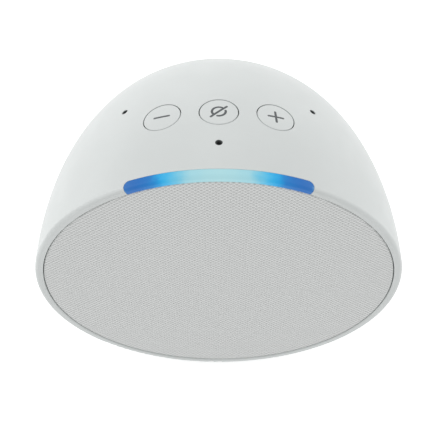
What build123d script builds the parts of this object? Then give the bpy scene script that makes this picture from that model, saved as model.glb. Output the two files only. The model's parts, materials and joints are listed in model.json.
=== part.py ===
from build123d import *
from math import atan, cos, radians, sin
import os

os.makedirs("parts", exist_ok=True)

# A table-top smart speaker: a round dome laid on its side, leaning back, with a flat cloth grille
# in front, a light bar over the top of the rim, three flush keys and three microphone ports above.
# Millimetres and degrees, +Z up. The origin is under the middle of the dome, on the table.
# "Depth" is measured back from the front rim along the dome's axis, and "below" a skin plane is
# measured inward from the dome's surface along its normal.

# --- Dome -----------------------------------------------------------------------------------
dome_radius = 49.5          # widest radius, at the front rim
dome_depth = 64.2           # front rim to the far end of the dome
dome_fullness = 2.57        # exponent of the outline: 2 would be an ellipse
face_tilt = 24.5            # lean of the front, back from upright
wall = 2.2
rim_lift = 1.25             # lowest point of the rim above the table
rim_outer_round = 1.0
rim_inner_round = 0.4
lip_width = 2.15            # rim between the grille and the outside

# --- Foot -----------------------------------------------------------------------------------
foot_height = 1.2           # dome's flat underside above the table
foot_recess = 0.8
foot_half_width = 23.0
foot_half_length = 27.0
foot_edge_gap = 0.15
foot_round = 0.5
foot_back = 11.5            # middle of the foot, behind the middle of the front face

# --- Grille ---------------------------------------------------------------------------------
grille_recess = 0.2         # cloth set back from the rim
cloth_gap = 0.2
cloth_thickness = 0.8
panel_thickness = 1.8
panel_edge_gap = 0.05
panel_hole_radius = 1.9
panel_hole_pitch = 5.2
panel_plain_border = 9.0    # edge of the panel that carries no holes
panel_peg_radius = 1.2
panel_peg_length = 1.8
panel_peg_count = 4
panel_peg_inset = 3.6       # pegs in from the baffle's edge
peg_clearance = 0.08

# --- Baffle and acoustic chamber ------------------------------------------------------------
baffle_edge_gap = 0.2
baffle_step = 2.95          # rim shoulder that carries the grille panel
baffle_face_gap = 0.15
baffle_thickness = 2.4
ledge_width = 3.1
ledge_thickness = 1.2
baffle_screw_inset = 1.8
baffle_screw_count = 4
baffle_screw_first = 45.0   # place of the first screw round the rim, from the top
baffle_boss_radius = 2.2
baffle_boss_length = 5.6
mouth_seal_gap = 0.85       # wall of the flared opening inside the chamber's seal
seat_wall = 2.0
seat_width = 4.2
chamber_wall = 1.8
chamber_depth = 37.8        # back of the acoustic chamber
chamber_back_inset = 21.8   # the chamber's back, in from the dome's widest radius
chamber_flange_thickness = 2.0
chamber_flange_gap = 0.4
seal_thickness = 0.8
seal_width = 2.2
chamber_screw_inset = 2.0
chamber_screw_count = 6
chamber_screw_first = 30.0
screw_skin = 1.8            # how far the chamber's screws reach into the baffle

# --- Driver ---------------------------------------------------------------------------------
driver_seat_depth = 10.0
driver_radius = 26.9
driver_pocket_gap = 0.7
driver_screw_count = 4
driver_screw_first = 45.0
driver_gasket_thickness = 0.6
basket_flange_thickness = 1.2
basket_flange_width = 5.2
basket_wall = 1.3
basket_cone_gap = 0.5       # the basket's shoulder outside the rim of the cone
basket_shoulder_depth = 17.4
basket_back_overhang = 0.6  # the basket's back outside the top plate
basket_back_depth = 20.2
basket_back_thickness = 1.0
spider_ledge_width = 2.6
spider_ledge_depth = 17.0
basket_window_angle = 58.0
basket_window_count = 4
basket_window_border = 1.2
driver_screw_inset = 1.6
surround_landing = 2.0      # width glued to the basket's flange
surround_width = 5.3        # the basket's side of the surround to the rim of the cone
surround_roll_radius = 1.75
surround_thickness = 0.4
surround_lap = 1.2          # width glued to the cone's rim
cone_thickness = 0.4
cone_neck_depth = 14.6
coil_former_radius = 7.85
coil_former_thickness = 0.25
coil_former_front = 13.4
coil_former_back = 24.8
coil_thickness = 0.4
coil_front = 20.0
coil_back = 23.8
gap_clearance = 0.5
dust_cap_height = 2.6
dust_cap_radius = 9.3
spider_thickness = 0.4
spider_clearance = 0.2
spider_edge_gap = 0.4
top_plate_thickness = 2.4
top_plate_radius = 16.0
magnet_thickness = 6.4
magnet_radius = 17.5
magnet_bore_radius = 10.2
yoke_thickness = 2.4
yoke_radius = 16.5
pole_step = 0.2
terminal_angle = 152.0      # place of the terminals round the driver, from the top
terminal_inset = 0.3        # in from the basket's opening
terminal_width = 8.0
terminal_height = 1.8
terminal_tab_depth = 13.0
terminal_tab_thickness = 1.2
terminal_tab_border = 0.5
terminal_thickness = 0.9

# --- Light bar ------------------------------------------------------------------------------
light_half_angle = 27.3
light_wrap = 2.4            # how far it wraps back over the top
light_corner = 1.5
light_gap = 0.12
guide_half_angle = 25.0
guide_front_inset = 1.4     # in from the dome's widest radius
guide_back_inset = 0.5      # in from the light board's edge
guide_width = 1.0
guide_gap = 0.15
led_count = 8
led_spacing = 6.4           # degrees
led_width = 1.6
led_height = 0.9
led_thickness = 0.6
led_board_gap = 0.7         # to the inside of the wall
led_board_width = 2.7
led_board_thickness = 0.5
led_board_half_angle = 27.0
led_post_radius = 0.7
led_post_inset = 1.9        # in from the light board's edge
led_post_angle = 22.0

# --- Keys -----------------------------------------------------------------------------------
key_depth = 21.45
key_angle = 17.4
key_radius = 4.75
key_gap = 0.25
key_travel = 0.4
key_skirt = 3.2
key_flange_overhang = 0.8
key_flange_thickness = 0.7
key_stem_radius = 1.5
key_edge_round = 0.2
guide_clearance = 0.08
carrier_below = 5.0
carrier_thickness = 1.4
carrier_half_angle = 29.0
carrier_border = 2.0        # beyond its screws
key_board_below = 10.2
key_board_thickness = 0.8
switch_size = 4.4
switch_height = 1.4
switch_floor = 0.2
plunger_radius = 1.0
plunger_length = 1.2
plunger_clearance = 0.12
key_screw_angle = 25.8
key_screw_inset = 0.25      # screws in from the flange's radius
key_post_radius = 1.7
key_boss_root = 1.2         # how far below the skin the bosses begin

# --- Microphones ----------------------------------------------------------------------------
top_mic_depth = 10.5
side_mic_depth = 28.4
side_mic_angle = 32.0
top_mic_port_radius = 0.92
side_mic_port_radius = 0.86
liner_recess = 0.15
liner_wall = 0.25
liner_gap = 0.02
mic_port_length = 1.0
mic_mesh_radius = 1.5
mic_mesh_thickness = 0.3
mic_gasket_length = 2.3
mic_gasket_bore = 0.6
mic_gap = 0.08
mic_capsule_width = 2.75
mic_capsule_length = 1.85
mic_capsule_height = 0.95
mic_board_radius = 1.7
mic_board_thickness = 0.7

# --- Screws ---------------------------------------------------------------------------------
screw_radius = 0.85
screw_head_radius = 1.5
screw_head_height = 1.1
screw_clearance = 0.05
socket_radius = 0.6
socket_depth = 0.6
head_clearance = 0.15

# --- Main board -----------------------------------------------------------------------------
post_length = 3.2
post_radius = 2.2
post_inset = 4.0            # in from the board's edges
board_half_width = 23.0
board_top = 19.0
board_wire_gap = 1.9        # board's lower edge above the driver's wires
board_thickness = 1.2
can_width = 26.0
can_height = 20.0
can_depth = 2.2
can_wall = 0.3
can_x = -4.0
can_y = 2.0
chip_size = 12.0
chip_thickness = 1.0
chip_offset = 5.5
memory_offset = 6.5
memory_width = 8.0
memory_height = 11.0
pad_inset = 2.0
pad_thickness = 0.6
spreader_thickness = 1.5
spreader_fin_count = 5
spreader_fin_width = 1.0
spreader_fin_height = 1.2
capacitor_radius = 2.2
capacitor_length = 5.0
capacitor_x = -20.0
capacitor_y = 5.0
inductor_size = 5.0
inductor_height = 3.0
inductor_x = 14.5
inductor_y = -5.0
plug_height = 3.0
plug_length = 4.0
plug_edge_gap = 0.5
power_plug_width = 5.0
speaker_plug_width = 7.0
ribbon_plug_width = 10.0
ribbon_plug_height = 1.5
ribbon_plug_length = 3.6

# --- Wires and ribbon -----------------------------------------------------------------------
wire_radius = 0.5
wire_spacing = 2.6
power_wire_spacing = 1.8
power_wire_lead = 2.4       # straight length at each end
power_wire_bend = 0.8
speaker_bend_share = 0.45   # bend's radius as a share of the way along the board
grommet_radius = 2.6
grommet_overhang = 0.6
grommet_flange = 0.7
wire_clearance = 0.05
ribbon_width = 8.0
ribbon_thickness = 0.25
ribbon_bend = 3.0

# --- Antennas -------------------------------------------------------------------------------
antenna_front = 18.0
antenna_back = 34.0
antenna_half_angle = 9.0
antenna_thickness = 0.3
antenna_gap = 0.1
antenna_steps = 4

# --- Power inlet ----------------------------------------------------------------------------
jack_drop = 29.293          # axis below the middle of the front
jack_radius = 5.4
jack_edge_gap = 0.2
jack_boss_wall = 1.8
jack_length = 12.3
jack_bore_radius = 2.1
jack_bore_depth = 10.0
jack_mouth_length = 2.0
jack_pin_radius = 0.8
jack_pin_recess = 1.0
contact_thickness = 0.25
contact_gap = 0.03
jack_mouth_chamfer = 0.5

tolerance = 0.05            # for picking out edges, and for joining solids
margin = 1.0                # how far a cut runs on past what it cuts
outline_steps = 14          # points along the dome's outline


# --- The dome's outline and its frames ------------------------------------------------------
def dome_at(depth, radius=dome_radius, length=dome_depth):
    """Radius of the dome at a depth behind the front rim."""
    return radius * (1 - (depth / length) ** 2) ** (1 / dome_fullness)


def dome_slope(depth, radius=dome_radius, length=dome_depth):
    """Change of that radius with depth, which is negative."""
    share = 1 - (depth / length) ** 2
    return -2 * radius * depth / (dome_fullness * length**2) * share ** (1 / dome_fullness - 1)


def dome_points(start, end, radius=dome_radius, length=dome_depth, steps=outline_steps):
    """Points along the outline as (radius, depth), closer together towards the far end."""
    turns = [sin(radians(90 * i / steps)) for i in range(steps + 1)]
    depths = [min(start + (end - start) * turn, length) for turn in turns]
    return [(dome_at(depth, radius, length), depth) for depth in depths]


tilt = radians(face_tilt)
front_normal = Vector(0, -cos(tilt), sin(tilt))
front_up = Vector(0, sin(tilt), cos(tilt))
sample_count = 2000
samples = [dome_depth * i / sample_count for i in range(sample_count + 1)]
rear_reach = max(depth * cos(tilt) + dome_at(depth) * sin(tilt) for depth in samples)
front_reach = (dome_radius - rim_outer_round) * sin(tilt) + rim_outer_round * (1 - cos(tilt))
face_y = (front_reach - rear_reach) / 2
face_z = dome_radius * cos(tilt) + rim_lift
face_centre = Vector(0, face_y, face_z)
face = Plane(origin=face_centre, x_dir=(1, 0, 0), z_dir=front_normal)
face_axis = Axis(face_centre, front_normal)


def outward(angle):
    """Direction away from the dome's axis, at an angle clockwise from the top, seen from the front."""
    return Vector(1, 0, 0) * sin(radians(angle)) + front_up * cos(radians(angle))


def section_at(angle):
    """Plane through the dome's axis: its x is the radius at that angle and its y is the depth."""
    return Plane(origin=face_centre, x_dir=outward(angle), z_dir=outward(angle).cross(-front_normal))


def skin_plane(angle, depth):
    """Plane that touches the dome's skin: x runs round the dome, y runs backwards, z points out."""
    lean = atan(-dome_slope(depth))
    out = outward(angle)
    origin = face_centre + out * dome_at(depth) - front_normal * depth
    across = Vector(1, 0, 0) * cos(radians(angle)) - front_up * sin(radians(angle))
    return Plane(origin=origin, x_dir=across, z_dir=out * cos(lean) - front_normal * sin(lean))


# --- Shapes used again and again ------------------------------------------------------------
def turned(*points, half_angle=180.0, middle=0.0, mode=Mode.ADD):
    """A ring, or a stretch of one, turned about the dome's axis from (radius, depth) points."""
    with BuildSketch(section_at(middle + half_angle), mode=Mode.PRIVATE) as outline:
        with BuildLine():
            Polyline(*points, close=True)
        make_face()
    revolve(outline.sketch, axis=face_axis, revolution_arc=2 * half_angle, mode=mode)


def ring(inner, outer, near, far, half_angle=180.0, middle=0.0, mode=Mode.ADD):
    """A plain ring between two depths."""
    corners = (inner, near), (outer, near), (outer, far), (inner, far)
    turned(*corners, half_angle=half_angle, middle=middle, mode=mode)


def peg(plane, radius, near, far, spots=((0, 0),), mode=Mode.ADD):
    """Round pegs or holes, between two distances below a plane."""
    with BuildSketch(plane.offset(-near), mode=Mode.PRIVATE) as outline:
        with Locations(*spots):
            Circle(radius)
    extrude(outline.sketch, amount=near - far, mode=mode)


def block(plane, width, height, near, far, spot=(0, 0), mode=Mode.ADD):
    """A rectangular block or pocket, between two distances below a plane."""
    with BuildSketch(plane.offset(-near), mode=Mode.PRIVATE) as outline:
        with Locations(spot):
            Rectangle(width, height)
    extrude(outline.sketch, amount=near - far, mode=mode)


def spot_at(radius, angle):
    """A spot on the face as (x, y), at an angle clockwise from the top."""
    return radius * sin(radians(angle)), radius * cos(radians(angle))


def around(radius, count, first=0.0):
    """Spots evenly spaced on a circle, the first at an angle from the top."""
    return [spot_at(radius, first + 360 * i / count) for i in range(count)]


def screws(plane, seat, tip, spots=((0, 0),)):
    """Socket-head screws whose heads stand on a seat below a plane and whose tips lie further in."""
    step = 1 if tip > seat else -1
    peg(plane, screw_radius, seat, tip, spots)
    peg(plane, screw_head_radius, seat - step * screw_head_height, seat, spots)
    socket_bottom = seat - step * (screw_head_height - socket_depth)
    peg(plane, socket_radius, seat - step * screw_head_height, socket_bottom, spots, mode=Mode.SUBTRACT)


def save(name, piece):
    """Label a finished piece and write it under its own name."""
    piece.part.label = name
    export_step(piece.part, f"parts/{name}.step")


# --- Depths and radii that follow from the values above -------------------------------------
bore_radius = dome_radius - lip_width
cloth_radius = bore_radius - cloth_gap
panel_radius = cloth_radius - cloth_thickness - panel_edge_gap
panel_front = grille_recess + cloth_thickness
grille_seat = panel_front + panel_thickness
baffle_bore = bore_radius - baffle_step
baffle_radius = baffle_bore - baffle_edge_gap
baffle_front = grille_seat + baffle_face_gap
baffle_back = baffle_front + baffle_thickness
ledge_radius = baffle_bore - ledge_width
chamber_front = baffle_back + ledge_thickness
baffle_screw_circle = baffle_radius - baffle_screw_inset
baffle_screw_spots = around(baffle_screw_circle, baffle_screw_count, baffle_screw_first)
baffle_screw_seat = baffle_front + screw_head_height + head_clearance
baffle_boss_end = chamber_front + baffle_boss_length
panel_peg_spots = around(baffle_radius - panel_peg_inset, panel_peg_count)

flange_radius = baffle_screw_circle - baffle_boss_radius - chamber_flange_gap
chamber_screw_circle = flange_radius - chamber_screw_inset
chamber_screw_spots = around(chamber_screw_circle, chamber_screw_count, chamber_screw_first)
chamber_outer_radius = chamber_screw_circle - screw_head_radius - chamber_flange_gap
chamber_back_radius = dome_radius - chamber_back_inset
chamber_seat = baffle_back + seal_thickness
chamber_flange_back = chamber_seat + chamber_flange_thickness
seal_outer = chamber_screw_circle - screw_radius - chamber_flange_gap
seal_inner = seal_outer - seal_width

pocket_radius = driver_radius + driver_pocket_gap
mouth_radius = seal_inner - mouth_seal_gap - seat_wall
basket_front = driver_seat_depth - driver_gasket_thickness - basket_flange_thickness
basket_flange_back = basket_front + basket_flange_thickness
seat_inner_radius = pocket_radius - seat_width
driver_screw_circle = driver_radius - driver_screw_inset
driver_screw_spots = around(driver_screw_circle, driver_screw_count, driver_screw_first)
basket_inner_radius = driver_radius - basket_flange_width
basket_throat_radius = basket_inner_radius + basket_wall
surround_front = basket_front - surround_thickness
surround_outer_radius = basket_inner_radius + surround_landing
cone_rim_radius = surround_outer_radius - surround_width
surround_roll_centre = cone_rim_radius + surround_roll_radius
basket_shoulder_radius = cone_rim_radius + basket_cone_gap
basket_back_radius = top_plate_radius + basket_back_overhang
spider_outer_radius = basket_shoulder_radius - basket_wall - spider_edge_gap
spider_ledge_radius = spider_outer_radius - spider_ledge_width
top_plate_back = basket_back_depth + top_plate_thickness
magnet_back = top_plate_back + magnet_thickness
yoke_back = magnet_back + yoke_thickness
coil_outer_radius = coil_former_radius + coil_thickness
top_plate_bore = coil_outer_radius + gap_clearance
pole_radius = coil_former_radius - coil_former_thickness - gap_clearance

led_board_front = chamber_front + led_thickness + guide_gap
led_board_outer_radius = dome_radius - wall - led_board_gap
led_board_inner_radius = led_board_outer_radius - led_board_width
guide_front_radius = dome_radius - guide_front_inset
guide_back_radius = led_board_outer_radius - guide_back_inset
led_post_circle = led_board_outer_radius - led_post_inset
led_post_spots = [spot_at(led_post_circle, angle) for angle in (-led_post_angle, 0, led_post_angle)]
led_angles = [led_spacing * (i - (led_count - 1) / 2) for i in range(led_count)]

key_angles = {"minus": -key_angle, "mute": 0.0, "plus": key_angle}
key_planes = {name: skin_plane(angle, key_depth) for name, angle in key_angles.items()}
key_flange_radius = key_radius + key_flange_overhang
flange_below = key_skirt + key_flange_thickness
carrier_back = carrier_below + carrier_thickness
switch_top = key_board_below - switch_height
stem_end = switch_top - key_travel - key_gap
key_board_back = key_board_below + key_board_thickness
key_screw_planes = [skin_plane(angle, key_depth) for angle in (-key_screw_angle, key_screw_angle)]
key_screw_offset = key_flange_radius - key_screw_inset
key_screw_spots = [(0, -key_screw_offset), (0, key_screw_offset)]
carrier_half_length = key_screw_offset + carrier_border

mic_sites = [
    (skin_plane(0, top_mic_depth), top_mic_port_radius),
    (skin_plane(side_mic_angle, side_mic_depth), side_mic_port_radius),
    (skin_plane(-side_mic_angle, side_mic_depth), side_mic_port_radius),
]
mic_mesh_back = mic_port_length + mic_mesh_thickness
mic_gasket_back = mic_mesh_back + mic_gasket_length
mic_capsule_back = mic_gasket_back + mic_capsule_height

board_front = chamber_depth + post_length
board_back = board_front + board_thickness
terminal_radius = basket_inner_radius - terminal_inset
terminal_spot = spot_at(terminal_radius, terminal_angle)
board_bottom = terminal_spot[1] + board_wire_gap
post_x = board_half_width - post_inset
post_spots = [(x, y) for x in (-post_x, post_x) for y in (board_bottom + post_inset, board_top - post_inset)]
board_middle = (board_top + board_bottom) / 2
can_back = board_back + can_depth
spreader_front = can_back + pad_thickness
spreader_back = spreader_front + spreader_thickness
plug_y = board_bottom + plug_length / 2 + plug_edge_gap
terminal_back = terminal_tab_depth + terminal_tab_thickness + terminal_thickness

floor_height = foot_height + wall
screw_hole = screw_radius + screw_clearance
foot_y = face_y + foot_back

jack_height = face_z - jack_drop
jack_floor_height = jack_height - jack_radius - jack_edge_gap
lower_skin = [face_centre - front_up * dome_at(depth) - front_normal * depth for depth in samples]
jack_floor = min(lower_skin, key=lambda point: abs(point.Z - jack_floor_height))
jack_front = jack_floor.Y
jack_plane = Plane(origin=(0, jack_front, jack_height), x_dir=(-1, 0, 0), z_dir=(0, 1, 0))


# --- Solids that several pieces are cut from ------------------------------------------------
def dome_outline(start, radius, length):
    """Curve of the dome's outline from a depth to its far end, with its true end directions."""
    start_direction = (dome_slope(start, radius, length), 1)
    Spline(*dome_points(start, length, radius, length), tangents=(start_direction, (-1, 0)))


with BuildPart() as dome:
    with BuildSketch(section_at(90)):
        with BuildLine():
            rim_edge = dome_at(rim_outer_round)
            Line((0, 0), (rim_edge - rim_outer_round, 0))
            TangentArc((rim_edge - rim_outer_round, 0), (rim_edge, rim_outer_round), tangent=(1, 0))
            dome_outline(rim_outer_round, dome_radius, dome_depth)
            Line((0, dome_depth), (0, 0))
        make_face()
    revolve(axis=face_axis)
    split(bisect_by=Plane.XY.offset(foot_height), keep=Keep.TOP)

with BuildPart() as chamber_space:
    with BuildSketch(section_at(90)):
        with BuildLine():
            inner_radius = dome_radius - wall
            inner_depth = dome_depth - wall
            Line((0, chamber_front), (dome_at(chamber_front, inner_radius, inner_depth), chamber_front))
            dome_outline(chamber_front, inner_radius, inner_depth)
            Line((0, inner_depth), (0, chamber_front))
        make_face()
    revolve(axis=face_axis)
    split(bisect_by=Plane.XY.offset(floor_height), keep=Keep.TOP)


def light_bar_block(gap):
    """Stretch of the rim that the light bar fills, smaller all round by a gap."""
    depth = light_wrap - gap
    half_angle = light_half_angle - gap / radians(1) / dome_radius
    ring(bore_radius, dome_radius + margin, -margin, depth, half_angle=half_angle)


def light_end_edges(piece, gap):
    """The two short edges across the ends of the light bar, at its back."""
    depth = light_wrap - gap
    straight = piece.edges().filter_by(GeomType.LINE)
    return straight.filter_by(lambda edge: abs(face.to_local_coords(edge.center()).Z + depth) < tolerance)


with BuildPart() as light_space:
    light_bar_block(0)
    fillet(light_end_edges(light_space, 0), light_corner)

with BuildPart() as lip_corner:
    with BuildSketch(section_at(90)):
        with BuildLine():
            CenterArc((bore_radius + rim_inner_round, rim_inner_round), rim_inner_round, 180, 90)
            Line((bore_radius + rim_inner_round, 0), (bore_radius - margin, 0))
            Line((bore_radius - margin, 0), (bore_radius - margin, rim_inner_round))
            Line((bore_radius - margin, rim_inner_round), (bore_radius, rim_inner_round))
        make_face()
    revolve(axis=face_axis)

with BuildPart() as jack_boss:
    peg(jack_plane, jack_radius + jack_edge_gap + jack_boss_wall, -dome_radius, jack_length - jack_boss_wall)
    add(dome.part, mode=Mode.INTERSECT)


# --- Housing --------------------------------------------------------------------------------
with BuildPart() as housing_shell:
    add(dome.part)
    ring(0, bore_radius, -margin, grille_seat, mode=Mode.SUBTRACT)
    add(lip_corner.part, mode=Mode.SUBTRACT)
    ring(0, baffle_bore, -margin, baffle_back, mode=Mode.SUBTRACT)
    ring(0, ledge_radius, -margin, chamber_front + tolerance, mode=Mode.SUBTRACT)
    add(chamber_space.part, mode=Mode.SUBTRACT)
    # openings for the keys, the microphones and the light bar
    for plane in key_planes.values():
        peg(plane, key_radius + key_gap, -wall, key_skirt + wall, mode=Mode.SUBTRACT)
    for plane, port_radius in mic_sites:
        peg(plane, port_radius, -wall, mic_port_length, mode=Mode.SUBTRACT)
        peg(plane, mic_mesh_radius + mic_gap, mic_port_length, wall + mic_gasket_length, mode=Mode.SUBTRACT)
    add(light_space.part, mode=Mode.SUBTRACT)
    guide_half = guide_width / 2 + guide_gap
    turned(
        (guide_front_radius - guide_half, light_wrap - tolerance),
        (guide_front_radius + guide_half, light_wrap - tolerance),
        (guide_back_radius + guide_half, chamber_front + tolerance),
        (guide_back_radius - guide_half, chamber_front + tolerance),
        half_angle=guide_half_angle + guide_gap,
        mode=Mode.SUBTRACT,
    )
    # bosses and posts
    peg(face, baffle_boss_radius, chamber_front - tolerance, baffle_boss_end, baffle_screw_spots)
    for plane in key_screw_planes:
        peg(plane, key_post_radius, key_boss_root, carrier_below, key_screw_spots)
    peg(face, led_post_radius, chamber_front - tolerance, led_board_front, led_post_spots)
    add(jack_boss.part)
    # holes in them
    peg(jack_plane, jack_radius + jack_edge_gap, -dome_radius, jack_length, mode=Mode.SUBTRACT)
    boss_end = baffle_boss_end + margin
    peg(face, screw_hole, baffle_back - wall, boss_end, baffle_screw_spots, mode=Mode.SUBTRACT)
    for plane in key_screw_planes:
        post_end = carrier_below + margin
        peg(plane, screw_hole, key_boss_root + wall, post_end, key_screw_spots, mode=Mode.SUBTRACT)
    with BuildSketch(Plane.XY):
        with Locations((0, foot_y)):
            Ellipse(foot_half_width, foot_half_length)
    extrude(amount=foot_height + foot_recess, mode=Mode.SUBTRACT)
save("housing_shell", housing_shell)

with BuildPart() as base_foot:
    with BuildSketch(Plane.XY):
        with Locations((0, foot_y)):
            Ellipse(foot_half_width - foot_edge_gap, foot_half_length - foot_edge_gap)
    extrude(amount=foot_height + foot_recess)
    fillet(base_foot.edges().group_by(Axis.Z)[0], foot_round)
save("base_foot", base_foot)

# --- Grille ---------------------------------------------------------------------------------
with BuildPart() as grille_panel:
    with BuildSketch(face.offset(-panel_front)):
        Circle(panel_radius)
        hole_limit = panel_radius - panel_plain_border
        hole_rows = int(2 * panel_radius / panel_hole_pitch)
        with HexLocations(panel_hole_pitch / 2, hole_rows, hole_rows) as hole_grid:
            all_holes = [spot.position for spot in hole_grid.locations]
        local_holes = [face.offset(-panel_front).to_local_coords(spot) for spot in all_holes]
        with Locations(*[(spot.X, spot.Y) for spot in local_holes if spot.length < hole_limit]):
            Circle(panel_hole_radius, mode=Mode.SUBTRACT)
    extrude(amount=-panel_thickness)
    peg(face, panel_peg_radius, grille_seat, grille_seat + panel_peg_length, panel_peg_spots)
save("grille_panel", grille_panel)

with BuildPart() as grille_fabric:
    ring(0, cloth_radius, grille_recess, panel_front)
    ring(panel_radius + panel_edge_gap, cloth_radius, grille_recess, grille_seat)
save("grille_fabric", grille_fabric)

# --- Light bar ------------------------------------------------------------------------------
with BuildPart() as light_bar:
    light_bar_block(light_gap)
    fillet(light_end_edges(light_bar, light_gap), light_corner)
    add(dome.part, mode=Mode.INTERSECT)
    add(lip_corner.part, mode=Mode.SUBTRACT)
save("light_bar", light_bar)

with BuildPart() as light_guide:
    turned(
        (guide_front_radius - guide_width / 2, light_wrap),
        (guide_front_radius + guide_width / 2, light_wrap),
        (guide_back_radius + guide_width / 2, chamber_front),
        (guide_back_radius - guide_width / 2, chamber_front),
        half_angle=guide_half_angle,
    )
save("light_guide", light_guide)

with BuildPart() as leds:
    for led_angle in led_angles:
        led_plane = Plane(
            origin=face_centre + outward(led_angle) * guide_back_radius,
            x_dir=outward(led_angle + 90),
            z_dir=front_normal,
        )
        block(led_plane, led_width, led_height, led_board_front - led_thickness, led_board_front)
save("leds", leds)

with BuildPart() as led_board:
    board_end = led_board_front + led_board_thickness
    ring(led_board_inner_radius, led_board_outer_radius, led_board_front, board_end, led_board_half_angle)
save("led_board", led_board)

# --- Baffle ---------------------------------------------------------------------------------
with BuildPart() as front_baffle:
    turned(
        (baffle_radius, baffle_front),
        (mouth_radius, baffle_front),
        (pocket_radius, basket_front),
        (pocket_radius, driver_seat_depth),
        (seat_inner_radius, driver_seat_depth),
        (seat_inner_radius, driver_seat_depth + seat_wall),
        (pocket_radius + seat_wall, driver_seat_depth + seat_wall),
        (pocket_radius + seat_wall, basket_front),
        (mouth_radius + seat_wall, baffle_back),
        (baffle_radius, baffle_back),
    )
    peg(face, screw_hole, 0, baffle_back + margin, baffle_screw_spots, mode=Mode.SUBTRACT)
    head_hole = screw_head_radius + head_clearance
    peg(face, head_hole, baffle_front - margin, baffle_screw_seat, baffle_screw_spots, mode=Mode.SUBTRACT)
    peg_hole = panel_peg_radius + peg_clearance
    peg_hole_end = grille_seat + panel_peg_length + peg_clearance
    peg(face, peg_hole, baffle_front - margin, peg_hole_end, panel_peg_spots, mode=Mode.SUBTRACT)
    blind = baffle_back - screw_skin
    peg(face, screw_hole, blind, baffle_back + margin, chamber_screw_spots, mode=Mode.SUBTRACT)
    seat_end = driver_seat_depth + seat_wall
    hole_start = driver_seat_depth - margin
    peg(face, screw_hole, hole_start, seat_end + margin, driver_screw_spots, mode=Mode.SUBTRACT)
save("front_baffle", front_baffle)

with BuildPart() as baffle_screws:
    screws(face, baffle_screw_seat, baffle_boss_end - screw_head_height, baffle_screw_spots)
save("baffle_screws", baffle_screws)

# --- Driver ---------------------------------------------------------------------------------
with BuildPart() as driver_gasket:
    ring(seat_inner_radius, driver_radius, basket_flange_back, driver_seat_depth)
    hole_start = basket_flange_back - margin
    hole_end = driver_seat_depth + margin
    peg(face, screw_hole, hole_start, hole_end, driver_screw_spots, mode=Mode.SUBTRACT)
save("driver_gasket", driver_gasket)

with BuildPart() as driver_basket:
    turned(
        (driver_radius, basket_front),
        (driver_radius, basket_flange_back),
        (basket_throat_radius, basket_flange_back),
        (basket_shoulder_radius, basket_shoulder_depth),
        (basket_back_radius, basket_back_depth),
        (top_plate_bore + gap_clearance, basket_back_depth),
        (top_plate_bore + gap_clearance, basket_back_depth - basket_back_thickness),
        (spider_ledge_radius, basket_back_depth - basket_back_thickness),
        (spider_ledge_radius, spider_ledge_depth),
        (basket_shoulder_radius - basket_wall, spider_ledge_depth),
        (basket_inner_radius, basket_flange_back),
        (basket_inner_radius, basket_front),
    )
    window_pitch = 360 / basket_window_count
    for i in range(basket_window_count):
        ring(
            spider_outer_radius,
            driver_radius,
            basket_flange_back + basket_window_border,
            spider_ledge_depth - basket_window_border,
            half_angle=basket_window_angle / 2,
            middle=terminal_angle + window_pitch / 2 + window_pitch * i,
            mode=Mode.SUBTRACT,
        )
    terminal_plane = Plane(
        origin=face_centre + outward(terminal_angle) * terminal_radius,
        x_dir=outward(terminal_angle + 90),
        z_dir=front_normal,
    )
    tab_end = terminal_tab_depth + terminal_tab_thickness
    tab_width = terminal_width + 2 * terminal_tab_border
    tab_height = terminal_height + 2 * terminal_tab_border
    block(terminal_plane, tab_width, tab_height, terminal_tab_depth, tab_end)
    hole_start = basket_front - margin
    hole_end = basket_flange_back + margin
    peg(face, screw_hole, hole_start, hole_end, driver_screw_spots, mode=Mode.SUBTRACT)
save("driver_basket", driver_basket)

with BuildPart() as driver_screws:
    screws(face, basket_front, driver_seat_depth + seat_wall, driver_screw_spots)
save("driver_screws", driver_screws)

with BuildPart() as driver_surround:
    with BuildSketch(section_at(90)):
        with Locations((surround_roll_centre, surround_front)):
            Circle(surround_roll_radius)
            Circle(surround_roll_radius - surround_thickness, mode=Mode.SUBTRACT)
        with Locations((surround_roll_centre, surround_front)):
            Rectangle(
                2 * surround_roll_radius + margin,
                surround_roll_radius + margin,
                align=(Align.CENTER, Align.MIN),
                mode=Mode.SUBTRACT,
            )
        flat_middle = surround_front + surround_thickness / 2
        inner_edge = cone_rim_radius - surround_lap
        roll_inner = cone_rim_radius + surround_thickness
        roll_outer = cone_rim_radius + 2 * surround_roll_radius - surround_thickness
        with Locations(((inner_edge + roll_inner) / 2, flat_middle)):
            Rectangle(roll_inner - inner_edge, surround_thickness)
        with Locations(((roll_outer + surround_outer_radius) / 2, flat_middle)):
            Rectangle(surround_outer_radius - roll_outer, surround_thickness)
    revolve(axis=face_axis)
save("driver_surround", driver_surround)

cone_neck_radius = coil_former_radius
with BuildPart() as driver_cone:
    turned(
        (cone_rim_radius, basket_front),
        (cone_rim_radius, basket_front + cone_thickness),
        (cone_rim_radius - surround_lap, basket_front + cone_thickness),
        (cone_neck_radius + cone_thickness, cone_neck_depth),
        (cone_neck_radius + cone_thickness, cone_neck_depth + cone_thickness),
        (cone_neck_radius, cone_neck_depth + cone_thickness),
        (cone_neck_radius, cone_neck_depth - cone_thickness),
        (cone_rim_radius - surround_lap, basket_front),
    )
save("driver_cone", driver_cone)

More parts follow.
